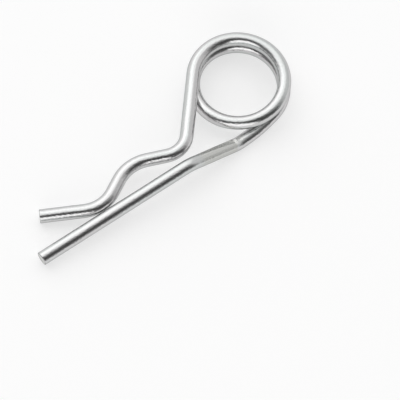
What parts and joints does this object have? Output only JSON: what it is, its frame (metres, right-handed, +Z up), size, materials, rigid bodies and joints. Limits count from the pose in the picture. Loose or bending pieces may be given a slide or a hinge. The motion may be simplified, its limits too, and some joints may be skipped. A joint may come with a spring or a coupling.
{
  "type": "hitch r clip pin",
  "caption": "Retaining clip bent from round spring wire, with a straight leg, a humped spring leg with a flared tip, and a tightly wound round coil between them.",
  "frame": {"origin": "centre of the shaft that the clip holds: the point where the shaft's axis crosses the straight leg's axis, under the crest of the hump", "axes": "the clip lies on a table: +Z up, +X from the cut end of the straight leg towards the coil, +Y from the straight leg towards the waved leg"},
  "size_m": [0.117, 0.0407, 0.0125],
  "materials": {
    "wire": "bright zinc plate on drawn wire, bare where it was sheared"
  },
  "bodies": {
    "root": {"clip": "wire"}
  },
  "joints": []
}
